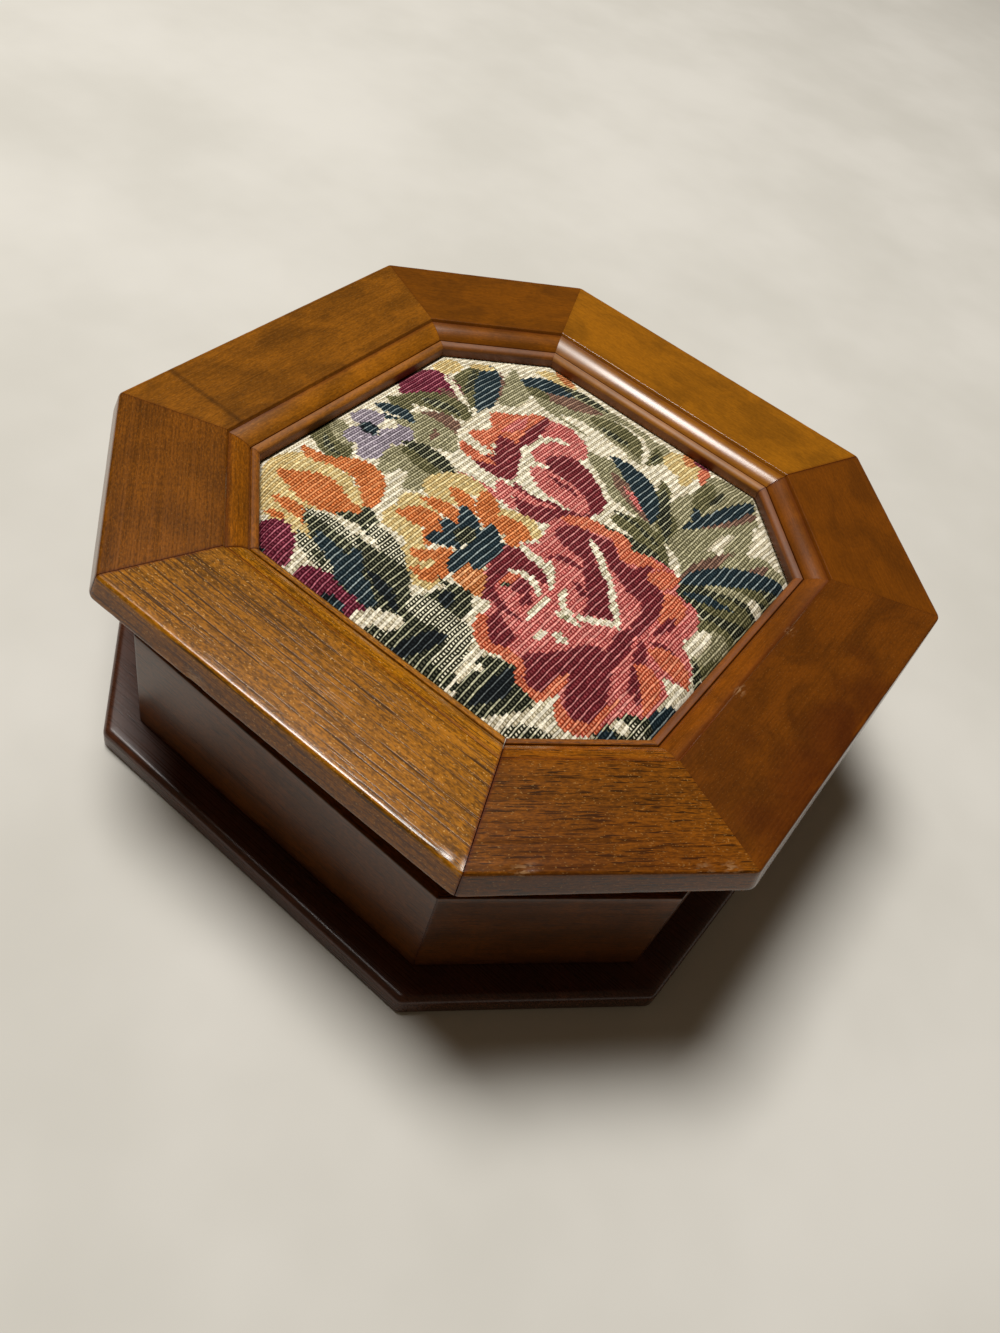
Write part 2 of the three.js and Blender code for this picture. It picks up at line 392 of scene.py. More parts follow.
def edge_shift(index, u, v, share):
    """How far out a point of a rail's section moves, where its edge leans less than the others."""
    lean = LID_FLARE - CORNER_FLARE[index] * (1 - share) - CORNER_FLARE[index - 1] * share
    if v < -LID_EDGE:
        return 0.0
    if u > TOP_EDGE:
        return lean * max((MOULDING - u) / LID_FLAT, 0)
    return lean * (1 + v / LID_EDGE)


def place_board(piece, index, height, turn=0.0):
    """Turns a board to its side and sets its face on the walls' face."""
    reach = side_shape(index)[0] * MM
    angle = index * EIGHTH + turn
    piece.rotation_euler = (0, 0, angle)
    piece.location = (-math.sin(angle) * reach, math.cos(angle) * reach, height * MM)


# Materials

def linear(red, green, blue):
    """A colour as it is seen, 0 to 255, as the linear value that a shader takes."""
    def channel(value):
        value /= 255
        return value / 12.92 if value <= 0.04045 else ((value + 0.055) / 1.055) ** 2.4
    return (channel(red), channel(green), channel(blue), 1.0)


def scaled(colour, factor):
    """A colour made lighter or darker."""
    return tuple(min(channel * factor, 1) for channel in colour[:3]) + (1.0,)


class Graph:
    """A new material's nodes. Each method adds one node and gives its output."""

    def __init__(self, name):
        self.material = bpy.data.materials.new(name)
        self.material.use_nodes = True
        self.nodes = self.material.node_tree.nodes
        self.links = self.material.node_tree.links
        self.shader = self.nodes["Principled BSDF"].inputs
        self.place = self.nodes.new("ShaderNodeTexCoord").outputs["Object"]

    def feed(self, socket, value):
        """Sets a socket to a value, or links another node's output to it."""
        if isinstance(value, (int, float, tuple)):
            socket.default_value = value
        else:
            self.links.new(value, socket)

    def math(self, operation, *values):
        made = self.nodes.new("ShaderNodeMath")
        made.operation = operation
        for socket, value in zip(made.inputs, values):
            self.feed(socket, value)
        return made.outputs[0]

    def mix(self, factor, first, second, blend="MIX"):
        made = self.nodes.new("ShaderNodeMix")
        made.data_type = "RGBA"
        made.blend_type = blend
        for socket, value in zip((made.inputs[0], made.inputs[6], made.inputs[7]), (factor, first, second)):
            self.feed(socket, value)
        return made.outputs[2]

    def shade(self, colour, factor):
        """A colour multiplied by a number that varies over the surface."""
        return self.mix(1.0, colour, factor, "MULTIPLY")

    def ramp(self, value, low, high, to_low=0.0, to_high=1.0):
        """A smooth step: to_low at low and below, to_high at high and above."""
        made = self.nodes.new("ShaderNodeMapRange")
        made.interpolation_type = "SMOOTHSTEP"
        self.feed(made.inputs["Value"], value)
        made.inputs["From Min"].default_value = low
        made.inputs["From Max"].default_value = high
        made.inputs["To Min"].default_value = to_low
        made.inputs["To Max"].default_value = to_high
        return made.outputs["Result"]

    def noise(self, scale, offset=(0, 0, 0), detail=3.0, roughness=0.5, bend=0.0):
        """Noise with its own scale on each of the piece's axes, in waves a metre."""
        mapping = self.nodes.new("ShaderNodeMapping")
        mapping.inputs["Scale"].default_value = scale
        mapping.inputs["Location"].default_value = offset
        self.feed(mapping.inputs["Vector"], self.place)
        texture = self.nodes.new("ShaderNodeTexNoise")
        texture.inputs["Scale"].default_value = 1.0
        texture.inputs["Detail"].default_value = detail
        texture.inputs["Roughness"].default_value = roughness
        texture.inputs["Distortion"].default_value = bend
        self.feed(texture.inputs["Vector"], mapping.outputs["Vector"])
        return texture.outputs["Fac"]

    def attribute(self, label, output="Fac"):
        made = self.nodes.new("ShaderNodeAttribute")
        made.attribute_name = label
        return made.outputs[output]

    def axes(self):
        """The place along the piece's own X, Y and Z."""
        made = self.nodes.new("ShaderNodeSeparateXYZ")
        self.feed(made.inputs[0], self.place)
        return made.outputs

    def bump(self, height, strength, distance):
        made = self.nodes.new("ShaderNodeBump")
        made.inputs["Strength"].default_value = strength
        made.inputs["Distance"].default_value = distance
        self.feed(made.inputs["Height"], height)
        self.feed(self.shader["Normal"], made.outputs["Normal"])


# Wood

def wood(name, seed, gloss, tone, contrast, mottle, pores, moulding=None, dash=170, sparkle=0, seam=None):
    """Stained hardwood under satin lacquer, its grain along the piece's own X.

    The moulding is the painted light on the moulding: how much lighter it is painted than the flat. A high
    dash gives short pores. A seam is a straight joint across the flat, at a distance along it in
    millimetres.
    """
    graph = Graph(name)
    along, across, _ = graph.axes()
    shift = (seed * 1.37, seed * 2.11, seed * 0.73)
    broad = graph.noise((9, 80, 80), shift, 2.0, 0.5, 0.4)
    streaks = graph.noise((14, 1900, 1900), shift, 3.0, 0.65, 0.1)
    flecks = graph.noise((900, 2600, 2600), shift, 2.0, 0.6)
    clouds = graph.noise((60, 90, 90), shift, 4.0, 0.6, 0.8)
    dashes = graph.noise((dash, 2600, 2600), shift, 1.0, 0.5)
    grain = graph.math("MULTIPLY", streaks, 0.34)
    grain = graph.math("MULTIPLY_ADD", broad, 0.16, grain)
    grain = graph.math("MULTIPLY_ADD", flecks, 0.5, grain)
    grain = graph.ramp(grain, 0.38, 0.62)
    colour = graph.mix(grain, scaled(tone, 1 - contrast), scaled(tone, 1 + contrast))
    rough = graph.math("MULTIPLY_ADD", streaks, 0.12, gloss - 0.06)
    if seam is not None:
        colour = graph.shade(colour, seam_shade(graph, along, across, seam))
    if moulding:
        # painted light: the moulding is painted lighter than the flat
        colour = graph.shade(colour, moulded(graph, across, moulding, 1.0))
        rough = moulding_roughness(graph, rough, along, across)
    colour = graph.shade(colour, graph.ramp(clouds, 0.32, 0.68, 1 - 0.5 * mottle, 1 + 0.4 * mottle))
    pore = graph.math("MULTIPLY", graph.ramp(dashes, 0.57, 0.66), pores)
    colour = graph.mix(pore, colour, scaled(tone, 0.25))
    # painted glints: specks of the grain painted pale gold
    if sparkle:
        specks = graph.noise((1900, 3400, 3400), shift, 0.0)
        colour = graph.mix(graph.ramp(specks, 0.73, 0.79, 0.0, sparkle), colour, SPARKLE)
    graph.feed(graph.shader["Base Color"], aged_and_shaded(graph, colour, tone, shift))
    graph.feed(graph.shader["Roughness"], rough)
    graph.bump(graph.math("MULTIPLY_ADD", pore, -1.0, flecks), 0.2, 0.00003)
    graph.shader["IOR"].default_value = 1.5
    return graph.material


def moulded(graph, across, inside, outside):
    """One value on a rail's moulding and another on its flat."""
    return graph.ramp(across, -OVOLO * MM, -MOULDING * MM, inside, outside)


def seam_shade(graph, along, across, seam):
    """A thin dark line across a rail's flat, at its full strength on the joint."""
    past = graph.math("SUBTRACT", seam * MM, along)
    apart = graph.math("ABSOLUTE", past)
    apart = graph.math("ADD", apart, moulded(graph, across, 1.0, 0.0))
    return graph.ramp(apart, 0.0001, 0.0012, 0.6, 1.0)


def moulding_roughness(graph, rough, along, across):
    """The bead is matt, and the moulding's lacquer is duller towards the rail's local -X."""
    bead = graph.ramp(across, -(BEAD + 0.3) * MM, -(BEAD - 0.1) * MM, 1.0, 0.0)
    rough = graph.math("MULTIPLY_ADD", bead, 0.3, rough)
    dull = graph.ramp(along, -0.036, -0.006, 0.16, 0.02)
    return graph.math("MULTIPLY_ADD", moulded(graph, across, 1.0, 0.0), dull, rough)


def aged_and_shaded(graph, colour, tone, shift):
    """Darker in the grooves, painted shade where a rail's mark carries it, dark lines in the mitres, arrises
    rubbed pale, and chips down to the bare wood.
    """
    # painted shade: the lips, some outer edges and patches are darkened here along with the grooves
    dark = graph.math("MULTIPLY", graph.attribute("groove_and_shade"), 0.55)
    dark = graph.math("MAXIMUM", dark, graph.attribute("joint"))
    colour = graph.mix(dark, colour, (0.4 * tone[0], 0.15 * tone[1], 0.2 * tone[2], 1.0))
    patchy = graph.ramp(graph.noise((90, 500, 500), shift, 3.0, 0.6), 0.5, 0.72, 0.0, 0.6)
    rubbed = graph.math("MULTIPLY", graph.attribute("arris"), patchy)
    colour = graph.mix(rubbed, colour, scaled(tone, 2.4))
    ragged = graph.ramp(graph.noise((500, 1600, 1600), shift, 2.0, 0.6), 0.46, 0.58)
    chipped = graph.math("MULTIPLY", graph.attribute("chip"), ragged)
    return graph.mix(chipped, colour, BARE_WOOD)


BARE_WOOD = linear(178, 140, 98)  # where the lacquer is chipped off
SPARKLE = linear(228, 178, 104)  # painted glints: points of lacquer in the grain, painted as catching the light

# Gloss is the lacquer's roughness. A look is the tone, the contrast of the grain, mottling and pores, and
# on a rail also the moulding's painted light beside the flat, the dash and the strength of the
# painted glints.
RAIL_GLOSS = 0.2
RAIL_LOOKS = {
    "back": (linear(142, 87, 8), 0.14, 0.4, 0.1, 1.0, 170, 0),
    "back_left": (linear(108, 59, 1), 0.16, 0.5, 0.15, 1.3, 170, 0),
    "left": (linear(122, 72, 8), 0.24, 0.6, 0.2, 1.5, 170, 0.1),
    "front_left": (linear(108, 60, 3), 0.34, 0.4, 0.3, 1.6, 170, 0.1),
    "front": (linear(140, 87, 6), 0.56, 0.25, 1.0, 1.2, 45, 0.5),
    "front_right": (linear(114, 63, 4), 0.4, 0.3, 1.0, 1.25, 190, 0.2),
    "right": (linear(98, 50, 2), 0.16, 0.5, 0.12, 1.5, 170, 0.06),
    "back_right": (linear(104, 54, 1), 0.14, 0.4, 0.1, 1.2, 170, 0),
}
WALL_GLOSS = 0.3
WALL_LOOK = (linear(86, 46, 12), 0.45, 0.4, 0.9)
BASE_GLOSS = 0.28
BASE_LOOK = (linear(72, 37, 20), 0.2, 0.4, 0.5)
BOARD_GLOSS = 0.5
BOARD_LOOK = (linear(120, 86, 54), 0.2, 0.3, 0.3)
WALL_GAP = 0.03
WALL_JOINT = 0.5

# Dents and nicks: place in the rail's own frame, radius, depth, in millimetres
RAIL_CHIPS = {
    "front": [((-46.4, 5.6, -0.5), 1.4, 0.3), ((-42, 6.0, -0.3), 0.9, 0.12), ((18, 8, -4.6), 1.6, 0.25)],
    "front_right": [((17.4, 5.8, -0.4), 1.3, 0.2), ((-17.4, 6.2, -0.4), 0.9, 0.15),
                    ((-23, 6.2, -0.4), 1.0, 0.2)],
    "right": [((43, 5.4, -0.3), 0.8, 0.15), ((-13.5, -17.8, -0.2), 0.9, 0.1),
              ((11.3, -17.9, -0.2), 0.9, 0.1)],
}
SEAMS = {"left": -32.6}  # the left rail is pieced: a straight seam across it near its front end


def build_rails():
    section = rail_section()
    for index, side in enumerate(SIDES):
        seam = SEAMS.get(side)
        material = wood("rail_wood_" + side, index + 1, RAIL_GLOSS, *RAIL_LOOKS[side], seam=seam)
        gaps = (CORNER_GAP[index], CORNER_GAP[index - 1])
        joints = tuple(0.9 * gap / max(CORNER_GAP) for gap in gaps)
        chips = RAIL_CHIPS.get(side, [])
        rail = board_mesh("rail_" + side, section, index, LID_RIM, LID_CORNER, gaps, joints, material, chips)
        place_board(rail, index, LID_TOP, LID_TURN)
        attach(rail, "root")
        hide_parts("lid_rail_" + side)


def build_walls():
    section = wall_section()
    gaps = (WALL_GAP, WALL_GAP)
    joints = (WALL_JOINT, WALL_JOINT)
    for index, side in enumerate(SIDES):
        material = wood("wall_wood_" + side, index + 21, WALL_GLOSS, *WALL_LOOK)
        wall = board_mesh("side_" + side, section, index, 0, WALL_CORNER, gaps, joints, material)
        place_board(wall, index, WALL_FOOT)
        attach(wall, "root")
        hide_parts("wall_" + side)


def plan_ring(inward, rim, radius, shares):
    """The outline of the whole plan at one distance inward, as points in millimetres."""
    ring = []
    for index in range(8):
        reach = side_shape(index)[0]
        end = end_of(index, inward, rim, radius)
        angle = index * EIGHTH
        for share in shares[:-1]:
            along = end - share * 2 * end
            out = reach - inward - pulled_in(index, inward, along, rim, radius)
            x = along * math.cos(angle) - out * math.sin(angle)
            y = along * math.sin(angle) + out * math.cos(angle)
            ring.append((x, y))
    return ring


def build_base():
    """One solid plate with a rounded upper edge; its middle is hidden inside the box."""
    edge = -BASE_LIP
    middle = 50  # the flats end here, in a cap
    rows = [(middle, 0), (20, 0), (5, 0), (edge + BASE_ARRIS, 0), (edge, BASE_ARRIS)]
    for i in range(11):
        angle = i / 10 * math.pi / 2
        rows.append((edge + BASE_ROUND * (1 - math.cos(angle)), FLOOR - BASE_ROUND * (1 - math.sin(angle))))
    rows += [(inward, FLOOR) for inward in (-5, -4, -3, -2, -1, 0, 2, 5, 10, 20, middle)]
    shares = stations(0.2 / 80, 1.35, 2 / 80)
    vertices = []
    arris = []
    for inward, height in rows:
        for x, y in plan_ring(inward, edge, BASE_CORNER, shares):
            rough = noise.noise(Vector((x * 0.3, y * 0.3, height)))
            on_edge = inward < edge + BASE_ROUND and height > BASE_ROUND
            vertices.append(Vector((x, y, height)) * MM)
            arris.append(0.6 + 0.4 * rough if on_edge else 0.0)
    # the rows run the other way round than a board's section, so each face is turned over
    faces = [face[:1] + face[:0:-1] for face in skin(len(rows), len(vertices) // len(rows))]
    zeros = [0.0] * len(vertices)
    attributes = {"arris": arris, "groove_and_shade": zeros, "chip": zeros, "joint": zeros}
    base = mesh_object("base", vertices, faces, attributes, wood("base_wood", 41, BASE_GLOSS, *BASE_LOOK))
    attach(base, "root")
    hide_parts("base_plate")


build_rails()
build_walls()
build_base()

# Board under the pad: the CAD solid, with a plain sealed finish
board_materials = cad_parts["lid_board"].data.materials
board_materials.clear()
board_materials.append(wood("board_wood", 51, BOARD_GLOSS, *BOARD_LOOK))


# Tapestry: the pattern, as one colour for each stitch

RIB = 1.63  # distance between two pale rows of the weave
STITCH = 0.8  # distance between two stitches along a row
CELL = STITCH / 2

YARNS = {
    # ground colour, colour of the pale rows and of the dots between them, dots' strength, rows' width
    "cream": ((190, 176, 142), (244, 236, 214), 0.6, 0.5),
    "yellow": ((204, 172, 108), (236, 218, 166), 0.35, 0.3),
    "check": ((44, 44, 24), (242, 236, 208), 1.0, 0.2),
    "sage": ((122, 116, 82), (202, 194, 160), 0.6, 0.22),
    "moss": ((76, 74, 42), (168, 160, 122), 0.4, 0.18),
    "olive": ((20, 24, 12), (200, 198, 164), 0.16, 0.18),
    "teal": ((20, 38, 46), (160, 172, 170), 0.06, 0.14),
    "ink": ((12, 18, 22), (110, 118, 118), 0.05, 0.14),
    "burgundy": ((104, 22, 32), (212, 144, 140), 0.14, 0.15),
    "berry": ((92, 16, 38), (196, 116, 130), 0.2, 0.15),
    "pink": ((180, 68, 66), (236, 162, 150), 0.8, 0.25),
    "coral": ((190, 78, 46), (234, 156, 122), 0.8, 0.24),
    "orange": ((188, 92, 36), (232, 156, 102), 0.7, 0.22),
    "amber": ((176, 92, 34), (236, 176, 126), 0.6, 0.28),
    "mauve": ((104, 74, 62), (170, 138, 116), 0.4, 0.2),
    "lavender": ((126, 114, 126), (204, 194, 200), 0.4, 0.22),
}
YARN_NAMES = list(YARNS)

HEM = REBATE + TOUCH + 0.2  # how far in the panel's edge lies, under the rails' lip
REACH = BODY_SPAN / 2 - HEM
COLUMNS = 4 * int(math.ceil(REACH / RIB))
ROWS = 2 * int(math.ceil(REACH / CELL))

# The stitches' places and yarns. Places are millimetres from the middle of the lid, in the lid's own
# frame, and each column starts a little higher or lower than the next.
column_places = (np.arange(COLUMNS) + 0.5 - COLUMNS / 2) * RIB / 2
row_places = (np.arange(ROWS) + 0.5 - ROWS / 2) * CELL
STITCH_X, STITCH_Y = np.meshgrid(column_places, row_places, indexing="ij")
STITCH_Y += np.random.default_rng(3).uniform(-0.45, 0.45, (COLUMNS, 1))
PATTERN = np.full(STITCH_X.shape, YARN_NAMES.index("cream"))


def fill(yarn, inside):
    """Gives stitches their yarn. A shape drawn later covers the ones before it."""
    PATTERN[inside] = YARN_NAMES.index(yarn)


def oval(yarn, x, y, wide, high, turn=0):
    """A filled oval."""
    angle = math.radians(turn)
    dx, dy = STITCH_X - x, STITCH_Y - y
    right = (dx * math.cos(angle) + dy * math.sin(angle)) / (wide / 2)
    rise = (dy * math.cos(angle) - dx * math.sin(angle)) / (high / 2)
    fill(yarn, np.hypot(right, rise) < 1)


def ovals(yarn, *several):
    for one in several:
        oval(yarn, *one)


def leaf(yarn, start, middle, end, width, taper=0.7):
    """A curved petal or leaf, narrow at both ends; a taper of 0 gives an even stripe."""
    inside = np.zeros(STITCH_X.shape, bool)
    for t in np.linspace(0, 1, 41):
        x, y = ((1 - t) ** 2 * s + 2 * t * (1 - t) * m + t * t * e for s, m, e in zip(start, middle, end))
        size = width / 2 * max(math.sin(math.pi * t), 0.05) ** taper
        inside |= np.hypot(STITCH_X - x, STITCH_Y - y) < size
    fill(yarn, inside)


def leaves(yarn, *several):
    for one in several:
        leaf(yarn, *one)


def patch(yarn, *corners):
    """A filled shape with a smooth outline through a few corners."""
    knots = np.array(corners, float)
    outline = []
    for a, b, c, d in zip(np.roll(knots, 1, 0), knots, np.roll(knots, -1, 0), np.roll(knots, -2, 0)):
        for t in (0, 0.25, 0.5, 0.75):
            bend = (2 * a - 5 * b + 4 * c - d) * t * t + (3 * b - a - 3 * c + d) * t ** 3
            outline.append((2 * b + (c - a) * t + bend) / 2)
    inside = np.zeros(STITCH_X.shape, bool)
    for (x0, y0), (x1, y1) in zip(outline, outline[1:] + outline[:1]):
        if y0 == y1:
            continue
        crosses = (STITCH_Y >= min(y0, y1)) & (STITCH_Y < max(y0, y1))
        inside ^= crosses & (STITCH_X < x0 + (STITCH_Y - y0) * (x1 - x0) / (y1 - y0))
    fill(yarn, inside)


# The greenery along the back, behind the upper rose

patch("sage", (-24, 34), (-32, 42), (-22, 48), (-8, 51), (8, 51), (12, 44), (8, 36), (0, 35), (-12, 33))
leaves("cream", ((-9, 44), (0, 52), (9, 37), 3.2, 0.2), ((-2, 52), (2, 55), (6, 50), 5),
       ((-16, 35), (-5, 38), (6, 33), 4, 0.3))
leaf("moss", (-11, 41), (-3, 47), (6, 38), 8)
leaf("olive", (-8, 40), (-3, 41), (2, 40), 2.5)
leaf("mauve", (-26, 38), (-18, 43), (-11, 46), 6)
leaf("yellow", (-33, 47), (-28, 51), (-22, 51), 6)
leaf("amber", (-31, 55), (-27, 53), (-23, 50), 4.5)
leaf("teal", (-33, 37), (-28, 45), (-20, 46), 7)
leaf("olive", (-25, 47), (-18, 50), (-10, 49), 4)
leaves("moss", ((-31, 35), (-27, 39), (-23, 38), 4), ((7, 47), (10, 43), (9, 37), 3.4))
patch("sage", (-38, 43), (-33, 39), (-27, 35), (-26, 28), (-30, 25), (-35, 33))
leaf("mauve", (-39, 38), (-34, 31), (-31, 24), 2.4)
patch("moss", (-45, 34), (-40, 31), (-35, 22), (-33, 17), (-38, 20), (-45, 25))
leaves("olive", ((-44, 33), (-41, 28), (-38, 21), 2.2), ((8, 45), (10, 42), (9, 39), 1.7))
leaf("teal", (-43, 39), (-37, 30), (-30, 17), 6.8, 0.6)
leaves("yellow", ((-46, 34), (-44, 36), (-41, 38), 4), ((17, 46), (19, 42), (19, 38), 3.5))
oval("yellow", 15, 47, 11, 12, 20)
leaf("amber", (13, 56), (15, 52), (16, 48), 4)
leaf("coral", (19, 53), (21, 49), (23, 43), 3.8)
oval("berry", 18, 54, 5, 5)

# The long leaves and the large dark leaf on the right

patch("sage", (23, 52), (34, 54), (40, 45), (50, 38), (55, 33), (48, 26), (42, 20), (38, 12), (33, 11),
      (27, 16), (25, 22), (21, 30), (23, 40))
leaf("moss", (24, 47), (26, 40), (27, 31), 5)
leaf("olive", (28, 46), (29, 42), (28, 38), 2)
patch("cream", (40, 43), (44, 44), (50, 38), (53, 34), (47, 34), (44, 30), (42, 37))
leaves("cream", ((38, 34), (37, 29), (36, 22), 2.6), ((38, 27), (38, 26), (39, 23), 1.8))
leaves("mauve", ((38, 48), (34, 38), (30, 27), 4.6), ((36, 9), (38, 16), (41, 28), 3.4),
       ((46, 23), (48, 28), (50, 33), 2.2))
leaves("teal", ((35.5, 52), (34, 40), (28, 24), 4.2, 0.5), ((27, 34), (27.5, 31), (29, 28), 2.2))
patch("olive", (37, 2), (37, 10), (41, 17), (48, 22), (56, 29), (57, 4), (50, 2), (44, 4))
leaves("moss", ((44, 6), (49, 13), (56, 14), 6), ((46, 18), (50, 21), (56, 24), 3))
leaf("sage", (42, 12), (47, 18), (56, 20), 2.4, 0.3)
oval("cream", 53.5, 18.5, 5, 3.5)
leaves("teal", ((37, 9), (42, 20), (57, 32), 5.6, 0.45), ((39, 6), (44, 9), (50, 12), 2.6),
       ((56, -21), (54, -27), (54, -36), 4.5, 0.4))
patch("moss", (46, 3), (56, 6), (57, -8), (52, -9), (50, -4))
patch("sage", (50, 3), (55, 3), (54, -4), (52, -9), (49, -5))
oval("cream", 49.5, -3, 4.5, 9)
leaf("olive", (51, -8), (54, -10), (57, -14), 2.4)
patch("olive", (47, -33), (50, -30), (54, -30), (56, -36), (49, -42), (46, -41), (46, -38))
leaf("cream", (46, -36), (49, -36), (52, -34), 2.6)
leaf("check", (50, -33), (53, -33), (56, -36), 3)
leaf("teal", (46, -40), (48, -39), (52, -38), 2.4)

# The long leaf between the roses and the small dark one above the large rose

patch("sage", (-4, 28), (2, 30), (8, 29), (16, 26), (22, 20), (25, 17), (14, 17), (8, 18), (2, 23))
leaf("mauve", (5, 26), (13, 24), (22, 18), 5)
leaf("pink", (10, 24), (14, 23), (18, 20), 1.8)
patch("moss", (15, 35), (19, 33), (22, 27), (26, 24), (28, 21), (27, 15), (24, 18), (19, 24))
leaf("olive", (17, 33), (21, 25), (28, 16), 3.6)
leaf("teal", (1, 31.5), (14, 32), (22, 18), 6.6)
leaves("cream", ((9, 17), (17, 17), (27, 15), 2, 0.2), ((26, 15), (31, 13), (36, 9), 3.6))
leaf("moss", (14, 12), (20, 17), (32, 10), 7)
patch("olive", (13, 8), (20, 10), (28, 11), (34, 8), (30, 5), (24, 4), (17, 6))
leaf("olive", (13, 15), (19, 16), (27, 13), 1.3, 0.2)

# The wine-red flower and the pansy on the left, with their leaves

oval("yellow", -50, 29, 8, 8)
oval("berry", -50, 18, 15, 15)
leaf("berry", (-53, 22), (-44, 22), (-36, 16), 7)
leaf("mauve", (-45, 18), (-40, 19), (-36, 17), 2.5)
leaves("cream", ((-47, 24), (-39, 21), (-31, 14), 1.8, 0.2), ((-56, 15), (-52, 8), (-53, 0), 5))
leaves("moss", ((-50, 7), (-41, 17), (-30, 13), 8), ((-52, 7), (-47, 7), (-43, 5), 4))
leaf("olive", (-45, 11), (-40, 14), (-33, 13), 3)
patch("sage", (-41, 7), (-34, 9), (-27, 6), (-25, 1), (-29, -2), (-38, -4), (-43, 0))
leaves("mauve", ((-41, 7), (-34, 11), (-25, 6), 4), ((-34, 4), (-32, 2), (-32, -1), 1.8))
leaves("teal", ((-52, 2), (-46, 4), (-39, 2), 4.2), ((-47, 0), (-45, -1), (-43, 0), 1.8))
patch("moss", (-57, -8), (-54, -10), (-47, -13), (-41, -19), (-44, -23), (-50, -21), (-56, -17))
leaf("sage", (-56, -9), (-50, -12), (-44, -17), 4.5)
leaf("olive", (-52, -16), (-48, -20), (-43, -21), 1.8)
ovals("lavender", (-49, -4, 9, 7, 10), (-39, -5, 8, 9), (-39.5, -13, 7, 10, 15), (-45, -11, 8, 8))
oval("cream", -43, -3, 4, 4)
oval("ink", -45.5, -7.5, 6.4, 3.8, -25)
leaf("teal", (-48, -6), (-45, -8), (-42, -8), 2.6)
patch("sage", (-36, -8), (-28, -8), (-22, -8), (-21, -15), (-25, -19), (-28, -14), (-32, -19), (-36, -14))
leaf("cream", (-30, -14), (-29, -17), (-29, -20), 2.2)
leaf("moss", (-35, -8), (-28, -7), (-22, -10), 5)
leaf("olive", (-36, -6), (-28, -3), (-19, -7), 4.4, 0.5)

# The yellow and orange tulip at the lower left, and the berries under it

patch("yellow", (-54, -30), (-49, -25), (-42, -25), (-31, -27), (-26, -31), (-31, -36), (-35, -40),
      (-27, -44), (-31, -47), (-41, -46), (-48, -43), (-53, -36))
leaves("orange", ((-52, -23.5), (-44, -27), (-36, -21), 3.4, 0.4),
       ((-43, -24), (-32, -17), (-26, -30), 7, 0.5), ((-45, -41), (-38, -40), (-29, -43), 3.2),
       ((-43, -44.6), (-40, -44.8), (-37, -44), 1.7))
leaf("yellow", (-47, -28), (-37, -24), (-30, -30.5), 3.6)
patch("orange", (-50, -34), (-45, -31.5), (-40, -28.6), (-34, -29.5), (-30, -31), (-25, -31), (-25, -34),
      (-31, -37), (-37, -38.2), (-43, -37))
ovals("berry", (-35, -51.5, 15, 11, -32), (-18, -53, 15, 7.4), (-9.5, -52.5, 9, 7.4))
leaf("ink", (-40, -52), (-36, -54), (-32, -56), 2)
oval("teal", -14, -54.5, 6, 3.6)
leaf("ink", (-18, -55), (-16, -54), (-14, -53), 1.8)

# The rose at the back

patch("cream", (-30, 22), (-24, 30), (-16, 33), (-8, 32), (-1, 25), (9, 19), (12, 12), (8, 2), (-8, -4),
      (-22, 0), (-30, 8), (-31, 16))
patch("coral", (-29, 20), (-24, 25), (-20, 30), (-16, 29), (-16, 16), (-19, 13), (-24, 8), (-28, 10),
      (-25, 15))
leaf("pink", (-22, 26), (-20, 21), (-23, 16), 3)
ovals("pink", (-10.5, 26.5, 16, 10.5, -15), (-10, 19, 9, 10))
leaf("burgundy", (-18, 30), (-17, 23), (-16, 15), 3.6, 0.4)
patch("burgundy", (-22, 14), (-17, 15), (-13, 12), (-10, 8), (-10, 3), (-15, 1), (-21, 2), (-19, 8))
patch("burgundy", (-7, 21), (-3, 23), (4, 20), (10, 16), (11, 10), (8, 4), (4, 8), (0, 14), (-6, 14),
      (-9, 17))
oval("pink", 0, 10, 19, 8, -8)
leaf("burgundy", (-5, 12), (0, 12.5), (5, 11), 1.6)
leaves("cream", ((-9, 26), (-16, 24), (-13, 14), 2, 0.2), ((-13, 15), (-11, 5), (-4, 3.5), 2, 0.2))
leaves("coral", ((-28, 11), (-23, 10), (-18, 6), 3), ((-27, 5.5), (-22, 2), (-16, 5), 3.4))
leaf("cream", (-28, 9), (-24, 6), (-18, 7.5), 2.2)
patch("burgundy", (-9, 3.6), (-4, 3), (3, 5), (7, 4), (4, -3), (0, -4.4), (-5, -2))
leaves("pink", ((-12, 1), (-6, -1), (4, 4), 2.6), ((-12, 0), (-7, -3), (-3, -4), 3.4),
       ((-20, -4.6), (-12, -4.8), (-7, -3.6), 3))

# The large rose right of the middle

patch("pink", (5, 0), (9, 5), (16, 8), (21, 7), (24, 4), (28, 9), (36, 9), (38, 5), (44, 4), (47, 0),
      (47, -7), (51, -9), (54, -15), (49, -18), (52, -21), (52, -29), (48, -33), (46, -40), (43, -44),
      (38, -43), (35, -39), (33, -44), (28, -44), (23, -40), (17, -42), (12, -38), (11, -32), (5, -28),
      (3, -20), (3, -14), (7, -9))
leaves("coral", ((6, 2), (11, 7), (18, 6.5), 4.2), ((16, 8), (22, 8), (25, 2), 4.2),
       ((23, 2), (26, 7), (32, 8), 4.2), ((31, 3), (34, 4), (36, 9), 5.4))
oval("coral", 39.5, -1, 7.5, 10, 10)
patch("burgundy", (7.5, -1), (10, 3), (15, 4), (19, 5.5), (22, 3), (26, 1.5), (28, 4), (30, 7), (31, 2),
      (36, 2), (38.5, -3), (39.5, -10), (38, -15), (36, -12), (35, -6), (29, -4.5), (24, -2.5), (20, -0.5),
      (19, -4), (14, -5), (9, -4))
